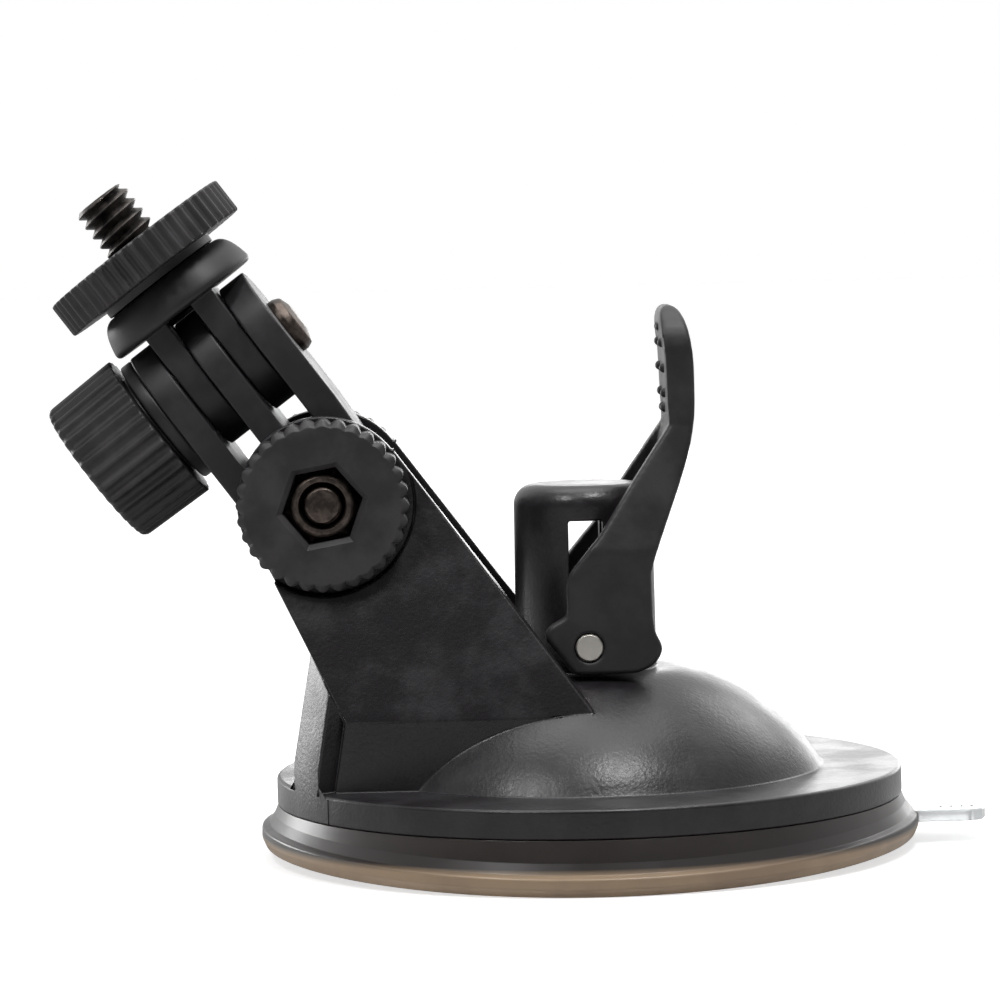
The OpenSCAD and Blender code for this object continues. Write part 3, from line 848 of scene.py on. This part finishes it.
# %% Lock wheel
HEAD_SHIFT = 0.5
HEAD = HINGE + ACROSS_LINK * HEAD_SHIFT * MM
WHEEL_START, WHEEL_R, WHEEL_TOP = 12.0, 10.98, 4.78
HUB_R, HUB_T, WHEEL_BORE = 6.78, 0.9, 3.16
WHEEL_FLUTES, STEPS_PER_FLUTE = 48, 10
wheel_corners = [
    (WHEEL_BORE, 0), (HUB_R, 0, 0.15), (HUB_R, HUB_T, 0.1), (WHEEL_R, HUB_T, 0.25, 1),
    (WHEEL_R, WHEEL_TOP, 0.3, 1), (3.5, WHEEL_TOP, 0.1), (WHEEL_BORE, 4.45), (WHEEL_BORE, 0),
]
wheel = turned("lock_wheel_fluted", wheel_corners, knob_black,
               set_down(HEAD + UP_LINK * WHEEL_START * MM, UP_LINK, Y),
               steps=WHEEL_FLUTES * STEPS_PER_FLUTE, flutes=WHEEL_FLUTES, depth=0.42, crest=1.1)
finish_piece("lock_wheel_fluted", wheel, "wheel", ["lock_wheel"])

# %% [markdown]
# The stud's flanks are steep, so its creases are kept sharp from a smaller angle than on the other
# pieces.

# %% Camera stud
STUD_START, STUD_LENGTH, STUD_LEAD, STUD_CREASE = 7.42, 15.36, 0.5, 25
stud = threaded("camera_stud", QUARTER_INCH, STUD_LENGTH, STUD_LEAD, oxide_black,
                set_down(HEAD + UP_LINK * STUD_START * MM, UP_LINK, Y), rows=10, steps=48)
finish_piece("camera_stud", stud, "head", ["camera_screw"], crease=STUD_CREASE)

# %% [markdown]
# ## Mouldings with eased edges
# The base, the link, the head and the stem have the right shape in the CAD, but their edges are knife
# sharp, and a moulded edge never is. A copy of each CAD mesh is welded, its flat triangles are merged
# back into whole faces, and a Bevel modifier rounds the edges that turn sharply. The curved walls are
# made of narrow faces, whose edges turn too little to be rounded.

# %% Ease the edges of a copy
FLAT_WITHIN, SHARP_FROM = math.radians(0.6), math.radians(28)
BEVEL_SEGMENTS = 2


def eased(name, node, width, finish, weld=0.01):
    """A copy of a CAD mesh with rounded edges. The width and the weld are in millimetres."""
    mesh = frame["nodes"][node].data.copy()
    bm = bmesh.new()
    bm.from_mesh(mesh)
    bmesh.ops.remove_doubles(bm, verts=bm.verts, dist=weld * MM)
    bmesh.ops.dissolve_degenerate(bm, edges=bm.edges, dist=weld * MM)
    bmesh.ops.dissolve_limit(bm, angle_limit=FLAT_WITHIN, verts=bm.verts, edges=bm.edges)
    weights = bm.edges.layers.float.new("bevel_weight_edge")
    for edge in bm.edges:
        if len(edge.link_faces) == 2 and edge.calc_face_angle(0) > SHARP_FROM:
            edge[weights] = 1.0
    bm.to_mesh(mesh)
    bm.free()
    mesh.shade_smooth()
    mesh.materials.clear()
    mesh.materials.append(finish)
    return plain_mesh(name, mesh, [("BEVEL", {
        "width": width * MM, "segments": BEVEL_SEGMENTS, "limit_method": "WEIGHT",
        "use_clamp_overlap": False, "miter_outer": "MITER_ARC", "loop_slide": True})])


base = eased("base_moulding", "base_housing", 0.22, base_black, weld=0.04)
print("base eased:", len(base.polygons), "faces")

# %% [markdown]
# Where the mould's two halves meet, they leave a fine raised line on the plate's rim. It is a thin
# upright ridge, sunk into the rim and joined to the base.

# %% Mould seam on the rim
RIM_R, RIM_MIDDLE, SEAM_AT = 33.2, 7.0, math.radians(-145.5)
SEAM_DEEP, SEAM_WIDE, SEAM_TALL = 0.12, 0.14, 2.6
seam = bpy.data.meshes.new("rim_seam")
bm = bmesh.new()
bmesh.ops.create_cube(bm, size=MM, matrix=Matrix.Diagonal((SEAM_DEEP, SEAM_WIDE, SEAM_TALL, 1)))
bm.to_mesh(seam)
bm.free()
seam.transform(Matrix.Rotation(SEAM_AT, 4, "Z") @ Matrix.Translation(Vector((RIM_R, 0, RIM_MIDDLE)) * MM))
seam.materials.append(base_black)
base = joined("base_moulding", base, seam)
finish_piece("base_moulding", base, "base", ["base_housing"])

# %% [markdown]
# The arm's mouldings and the stem take the same treatment, each with the rounding of its own size.

# %% Link, head and stem
for piece, node, width, body, slot in (
        ("link_moulding", "link", 0.25, "link", "black_abs"),
        ("fork_head_moulding", "camera_head", 0.2, "head", "black_abs"),
        ("pull_stem_moulding", "pull_stem", 0.3, "stem", "stem_plastic")):
    finish_piece(piece, eased(piece, node, width, fine_black), body, [node])

# %% [markdown]
# ## The lever
# The lever's edges are rounded more than the others, because a finger pulls on them. Its curved flanks
# have too many short edges for a Bevel, so its copy is rebuilt from small cells instead and then
# smoothed, which rounds every edge alike and leaves the flats flat.

# %% Lever
CELL, SMOOTHINGS, EVERY_ANGLE = 0.21, 14, 180
lever = frame["nodes"]["lever"].data.copy()
lever = plain_mesh("lever_moulding", lever, [
    ("REMESH", {"mode": "VOXEL", "voxel_size": CELL * MM}),
    ("SMOOTH", {"factor": 0.5, "iterations": SMOOTHINGS})])
finish_piece("lever_moulding", lever, "lever", ["lever"], fine_black, crease=EVERY_ANGLE)

# %% [markdown]
# The lever's pin is a plain rod with chamfered ends, cut from bright bar. It rides with the stem, which
# it passes through.

# %% Lever's pin
PIN_R, PIN_END = 1.44, 11.48
END_R, CHAMFER = 1.3, 0.18
pin_corners = [
    (0, -PIN_END), (END_R, -PIN_END, 0.1), (PIN_R, -PIN_END + CHAMFER, 0.08),
    (PIN_R, PIN_END - CHAMFER, 0.08), (END_R, PIN_END, 0.1), (0, PIN_END),
]
pin = turned("lever_pin_bright", pin_corners, bright_steel, set_down(PIN, Y, X), steps=48)
finish_piece("lever_pin_bright", pin, "stem", ["lever_pin"])

# %% [markdown]
# The pad of the handle has a ring of ten small domed bumps that stop a finger from slipping. They repeat
# along an oval, so a Geometry Nodes tree makes one ball and puts a copy on each point of it. Half of
# each ball is sunk into the pad, and a dome is left.

# %% Tree for a ring of bumps
def make_bump_ring():
    tree = new_tree(
        "ring_of_bumps", "GeometryNodeTree",
        [("Geometry", GEOMETRY, None), ("Bumps", WHOLE, 10), ("Half height", FLOAT, 0.0045),
         ("Half width", FLOAT, 0.004), ("Bump radius", FLOAT, 0.0005), ("Finish", MATERIAL, None)],
        [("Geometry", GEOMETRY, None)],
    )
    bench = Bench(tree)
    given = bench.given
    circle = bench.put("GeometryNodeMeshCircle", {"Vertices": given["Bumps"], "Radius": 1.0})
    stretch = bench.put("ShaderNodeCombineXYZ", {0: given["Half width"], 1: given["Half height"], 2: 1.0})
    oval = bench.put("GeometryNodeTransform", {"Geometry": circle.outputs[0], "Scale": stretch.outputs[0]})
    ball = bench.put("GeometryNodeMeshUVSphere", {
        "Segments": 16, "Rings": 10, "Radius": given["Bump radius"]})
    copies = bench.put("GeometryNodeInstanceOnPoints", {
        "Points": oval.outputs[0], "Instance": ball.outputs[0]})
    end_tree(bench, copies.outputs[0])
    return tree


bump_tree = make_bump_ring()
print("bump tree inputs:", ", ".join(socket_ids(bump_tree)))

# %% [markdown]
# The pad leans a little as it climbs, so the ring is set down across that slope.

# %% Grip bumps
BUMP_CENTRE, PAD_SLOPE = Vector((8.7, 0, 28.6)), Vector((-0.3, 0, 7.8))
HALF_HEIGHT, HALF_WIDTH, BUMP_R = 4.5, 4.0, 0.52
bumps = grow("lever_grip_bumps", bump_tree, bpy.data.meshes.new("bumps"), bumps=10,
             half_height=HALF_HEIGHT * MM, half_width=HALF_WIDTH * MM, bump_radius=BUMP_R * MM,
             finish=fine_black)
out_of_pad = -Vector((PAD_SLOPE.z, 0, -PAD_SLOPE.x))
bumps.transform(set_down(PIN + BUMP_CENTRE * MM, out_of_pad, Y))
finish_piece("lever_grip_bumps", bumps, "lever")

# %% [markdown]
# ## The cup
# The cup is soft and off the glass, so it isn't flat: its rim droops at the front and the back and lifts
# at the two sides. It is turned like the knobs, then each point is lifted by how far out and how far to
# a side it is. The part held by the base plate stays where it is.

# %% Suction cup
PLATE_UNDER = 5.58
cup_corners = [
    (0, 1.9), (8, 1.9), (20, 1.5), (27, 0.9), (33.2, 0.12, 0.3), (34.5, 0.02, 0.3), (34.95, 0.9, 0.5),
    (34.9, 1.9, 0.3), (34.1, 2.15, 0.2), (33.5, 3.3, 0.4), (33.1, PLATE_UNDER - 0.05, 0.1),
    (31.5, PLATE_UNDER), (0, PLATE_UNDER),
]
cup = turned("suction_cup_soft", cup_corners, smoky_soft, Matrix.Identity(4), steps=180)
SIDE_LIFT, LIP_SPREAD = 1.2, 0.35
SOFT_FROM, SOFT_OVER = 16, 18
for vertex in cup.vertices:
    x, y, z = (c / MM for c in vertex.co)
    reach = max(0.0, min(1.0, (math.hypot(x, y) - SOFT_FROM) / SOFT_OVER))
    sideways = (x / max(math.hypot(x, y), 1e-6)) ** 2
    held = 1 - (max(z, 0) / PLATE_UNDER) ** 3
    vertex.co.z += (SIDE_LIFT + LIP_SPREAD * z / 2) * reach ** 2 * sideways * held * MM
finish_piece("suction_cup_soft", cup, "base", ["suction_cup"], crease=60)

# %% [markdown]
# The release tab has small ridges for the fingernail. Another tree lays a bar on its side and copies it
# along a row.

# %% Tree for a row of ridges
def make_ridge_row():
    tree = new_tree(
        "row_of_ridges", "GeometryNodeTree",
        [("Geometry", GEOMETRY, None), ("Ridges", WHOLE, 4), ("Spacing", FLOAT, 0.001),
         ("Ridge length", FLOAT, 0.004), ("Ridge width", FLOAT, 0.0003), ("Finish", MATERIAL, None)],
        [("Geometry", GEOMETRY, None)],
    )
    bench = Bench(tree)
    given = bench.given
    apart = bench.put("ShaderNodeCombineXYZ", {0: given["Spacing"]})
    line = bench.put("GeometryNodeMeshLine", {"Count": given["Ridges"], "Offset": apart.outputs[0]})
    bar = bench.put("GeometryNodeMeshCylinder", {
        "Vertices": 12, "Radius": bench.calc("MULTIPLY", given["Ridge width"], 0.5),
        "Depth": given["Ridge length"]})
    lying = bench.put("GeometryNodeTransform", {
        "Geometry": bar.outputs[0], "Rotation": (math.pi / 2, 0.0, 0.0)})
    copies = bench.put("GeometryNodeInstanceOnPoints", {
        "Points": line.outputs[0], "Instance": lying.outputs[0]})
    end_tree(bench, copies.outputs[0])
    return tree


ridge_tree = make_ridge_row()
print("ridge tree inputs:", ", ".join(socket_ids(ridge_tree)))

# %% [markdown]
# The tab itself is a clear strip at the cup's edge with its corners cut on a slant. Its outline is
# filled, raised to its thickness and bevelled, and the ridges are joined to it.

# %% Release tab
TAB_LOW, TAB_HIGH, TAB_START, TAB_HALF = 2.3, 3.55, 34.2, 4.45
TAB_EDGE = 0.22
tab_outline = [
    (TAB_START, -TAB_HALF), (40.4, -TAB_HALF), (41.6, -3.6), (41.95, -2.4), (41.5, 3.4), (40.6, TAB_HALF),
    (TAB_START, TAB_HALF),
]
tab = bpy.data.meshes.new("release_tab_clear")
bm = bmesh.new()
foot = bm.faces.new([bm.verts.new((x * MM, y * MM, TAB_LOW * MM)) for x, y in tab_outline])
lifted = bmesh.ops.extrude_face_region(bm, geom=[foot])["geom"]
for part in lifted:
    if isinstance(part, bmesh.types.BMVert):
        part.co.z = TAB_HIGH * MM
bm.to_mesh(tab)
bm.free()
tab.materials.append(clear_soft)
tab = plain_mesh("release_tab_clear", outward(tab), [("BEVEL", {"width": TAB_EDGE * MM, "segments": 3})])
FIRST_RIDGE, RIDGE_SUNK = 37.3, 0.04
ridges = grow("tab_ridges", ridge_tree, bpy.data.meshes.new("ridges"), ridges=4, spacing=1.1 * MM,
              ridge_length=4.2 * MM, ridge_width=0.36 * MM, finish=clear_soft)
ridges.transform(Matrix.Translation(Vector((FIRST_RIDGE, 0, TAB_HIGH - RIDGE_SUNK)) * MM))
finish_piece("release_tab_clear", joined("release_tab_clear", tab, ridges), "base",
             ["release_tab"])

# %% [markdown]
# ## Floor and lights
# The floor is a large pale sheet. A white floor would wash out the black mouldings from below, so its own
# tone is grey. It glows a little, but only for rays that come straight from the camera, so that it looks
# white all the same.

# %% Floor
FLOOR_HALF, FLOOR_GREY, FLOOR_GLOW = 3.0, 0.5, 0.66
floor_mesh = bpy.data.meshes.new("floor")
bm = bmesh.new()
bmesh.ops.create_grid(bm, x_segments=1, y_segments=1, size=FLOOR_HALF)
bm.to_mesh(floor_mesh)
bm.free()
floor = bpy.data.objects.new("floor", floor_mesh)
bpy.context.scene.collection.objects.link(floor)
floor_white, bench = empty_finish("floor_white")
from_camera = bench.put("ShaderNodeLightPath").outputs["Is Camera Ray"]
sheet = bench.put("ShaderNodeBsdfPrincipled", {
    "Base Color": (FLOOR_GREY, FLOOR_GREY, FLOOR_GREY, 1), "Roughness": 0.9, "Specular IOR Level": 0.1,
    "Emission Color": (1, 1, 1, 1), "Emission Strength": bench.calc("MULTIPLY", from_camera, FLOOR_GLOW)})
bench.put("ShaderNodeOutputMaterial", {"Surface": sheet.outputs[0]})
floor_mesh.materials.append(floor_white)
print("floor", 2 * FLOOR_HALF, "m wide")

# %% [markdown]
# Soft boxes add the broad highlights. The one overhead lights the knobs' tops and the tower's, the two
# small ones in front draw the speckled spots on the dome, and the three behind pick out the rims and the
# fork.

# %% Lights
def soft_box(name, place, aim, size, power):
    """A large square area light, in millimetres, that faces a point."""
    light = bpy.data.lights.new(name, "AREA")
    light.shape = "RECTANGLE"
    light.size, light.size_y = size[0] * MM, size[1] * MM
    light.energy = power
    box = bpy.data.objects.new(name, light)
    box.location = Vector(place) * MM
    box.rotation_euler = (Vector(aim) - Vector(place)).to_track_quat("-Z", "Y").to_euler()
    bpy.context.scene.collection.objects.link(box)
    print(f"{name}: {size[0]} by {size[1]} mm, {power} W")


soft_box("overhead", (0, 80, 420), (0, 0, 20), (320, 220), 0.7)
soft_box("left_front", (-190, -225, 385), (0, -20, 10), (70, 70), 0.7)
soft_box("right_front", (80, -150, 420), (0, -15, 12), (70, 70), 0.9)
soft_box("right_back", (300, 400, 320), (10, 0, 20), (200, 160), 0.4)
soft_box("left_back", (-380, 265, 60), (-20, 0, 25), (220, 160), 0.8)
soft_box("low_back", (180, 700, 90), (20, 0, 10), (520, 160), 1.1)

# %% [markdown]
# The world is the bright tent. What it sends out grows from the camera's side to the far side, and the
# camera itself sees plain white.

# %% Bright tent
FRONT_GLOW, BACK_GLOW = 0.12, 1.0
FRONT_EDGE, BACK_EDGE = -0.7, 0.4
world = bpy.data.worlds.new("bright_tent")
bpy.context.scene.world = world
world.use_nodes = True
world.node_tree.nodes.clear()
bench = Bench(world.node_tree)
direction = bench.put("ShaderNodeSeparateXYZ", {0: bench.put("ShaderNodeTexCoord").outputs["Generated"]})
behind = bench.put("ShaderNodeMapRange", {
    "Value": direction.outputs["Y"], "From Min": FRONT_EDGE, "From Max": BACK_EDGE,
    "To Min": FRONT_GLOW, "To Max": BACK_GLOW})
seen = bench.put("ShaderNodeLightPath").outputs["Is Camera Ray"]
strength = bench.put("ShaderNodeMix", {"Factor": seen, "A": behind.outputs[0], "B": 1.0}, data_type="FLOAT")
sky = bench.put("ShaderNodeBackground", {
    "Color": (1, 1, 1, 1), "Strength": named(strength.outputs, "Result")})
bench.put("ShaderNodeOutputWorld", {"Surface": sky.outputs[0]})
print("tent glows from", FRONT_GLOW, "in front to", BACK_GLOW, "behind")

# %% [markdown]
